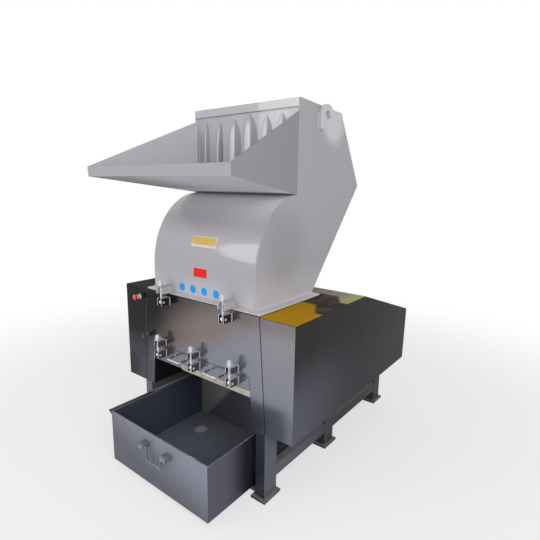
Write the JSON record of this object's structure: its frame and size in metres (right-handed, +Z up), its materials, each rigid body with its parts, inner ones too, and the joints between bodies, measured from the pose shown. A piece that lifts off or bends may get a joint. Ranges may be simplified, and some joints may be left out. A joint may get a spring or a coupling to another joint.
{
  "type": "plastics granulator",
  "caption": "Plastics granulator with a tall curved feed hopper and strip curtain, boxed base with side guards, swing-bolt clamps and a pull-out collecting bin on six legs.",
  "frame": {"origin": "on the floor under the middle of the machine's bounding box, with the bin drawn out as in the picture", "axes": "+Z up; the operator stands on the -Y side, in front of the bin; +X to the operator's right"},
  "size_m": [1.272, 1.761, 2.0055],
  "materials": {
    "grey_enamel": "glossy light grey enamel on sheet steel",
    "black_enamel": "glossy black enamel with a soft haze",
    "graphite_paint": "dark graphite paint, worn at the rim",
    "beige_strip": "worn beige strip",
    "bracket_steel": "dull plated steel",
    "zinc_plate": "bright zinc plate",
    "steel_rod": "handled steel bar",
    "grey_vinyl": "soft grey vinyl strip",
    "red_plastic": "glossy red plastic",
    "pale_plastic": "pale plastic"
  },
  "bodies": {
    "base": {"left_side_frame": "black_enamel", "right_side_frame": "black_enamel", "rear_cross_beam": "black_enamel", "left_bin_skirt": "black_enamel", "right_bin_skirt": "black_enamel", "chamber_body": "black_enamel", "rear_housing": "black_enamel", "left_guard": "black_enamel", "right_guard": "black_enamel", "front_panel": "black_enamel", "screen_door": "black_enamel", "lip_strip": "beige_strip", "hopper_left_side": "grey_enamel", "hopper_right_side": "grey_enamel", "hopper_belly": "grey_enamel", "hopper_back": "grey_enamel", "hopper_header": "grey_enamel", "feed_tray": "grey_enamel", "hopper_flange": "grey_enamel", "strip_curtain": "grey_vinyl", "lifting_hook_left": "grey_enamel", "lifting_hook_right": "grey_enamel", "hopper_lug_left": "grey_enamel", "hopper_lug_right": "grey_enamel", "upper_clevis_left": "bracket_steel", "upper_clevis_right": "bracket_steel", "lower_clevis_left": "bracket_steel", "lower_clevis_middle": "bracket_steel", "lower_clevis_right": "bracket_steel", "door_catch_left": "bracket_steel", "door_catch_middle": "bracket_steel", "door_catch_right": "bracket_steel", "door_handle_left": "steel_rod", "door_handle_right": "steel_rod", "stop_collar": "pale_plastic", "latch_boss": "pale_plastic"},
    "bin": {"bin": "graphite_paint"},
    "bail": {"bail_handle": "steel_rod"},
    "upper_swing_bolt_left": {"upper_swing_bolt_left": "zinc_plate"},
    "upper_swing_bolt_right": {"upper_swing_bolt_right": "zinc_plate"},
    "lower_swing_bolt_left": {"lower_swing_bolt_left": "zinc_plate"},
    "lower_swing_bolt_middle": {"lower_swing_bolt_middle": "zinc_plate"},
    "lower_swing_bolt_right": {"lower_swing_bolt_right": "zinc_plate"},
    "stop_button": {"stop_button": "red_plastic"},
    "latch_knob": {"latch_knob": "steel_rod"}
  },
  "joints": [
    {"name": "bin_slide", "type": "slide", "parent": "base", "child": "bin", "axis": [0, -1, 0], "range_m": [-0.295, 0.25]},
    {"name": "bail_swing", "type": "hinge", "parent": "bin", "child": "bail", "pos_m": [0.024, -0.8645, 0.261], "axis": [-1, 0, 0], "range_deg": [-5, 150]},
    {"name": "upper_swing_left", "type": "hinge", "parent": "base", "child": "upper_swing_bolt_left", "pos_m": [-0.236, -0.5825, 0.925], "axis": [1, 0, 0], "range_deg": [0, 170]},
    {"name": "upper_swing_right", "type": "hinge", "parent": "base", "child": "upper_swing_bolt_right", "pos_m": [0.236, -0.5825, 0.925], "axis": [1, 0, 0], "range_deg": [0, 170]},
    {"name": "lower_swing_left", "type": "hinge", "parent": "base", "child": "lower_swing_bolt_left", "pos_m": [-0.2802, -0.5825, 0.604], "axis": [1, 0, 0], "range_deg": [0, 170]},
    {"name": "lower_swing_middle", "type": "hinge", "parent": "base", "child": "lower_swing_bolt_middle", "pos_m": [0, -0.5825, 0.604], "axis": [1, 0, 0], "range_deg": [0, 170]},
    {"name": "lower_swing_right", "type": "hinge", "parent": "base", "child": "lower_swing_bolt_right", "pos_m": [0.2802, -0.5825, 0.604], "axis": [1, 0, 0], "range_deg": [0, 170]},
    {"name": "stop_push", "type": "slide", "parent": "base", "child": "stop_button", "axis": [0, 1, 0], "range_m": [0, 0.005], "stiffness_N_per_m": 600},
    {"name": "latch_turn", "type": "hinge", "parent": "base", "child": "latch_knob", "pos_m": [-0.42388, -0.5665, 0.684], "axis": [0, 1, 0], "range_deg": [0, 90]}
  ]
}
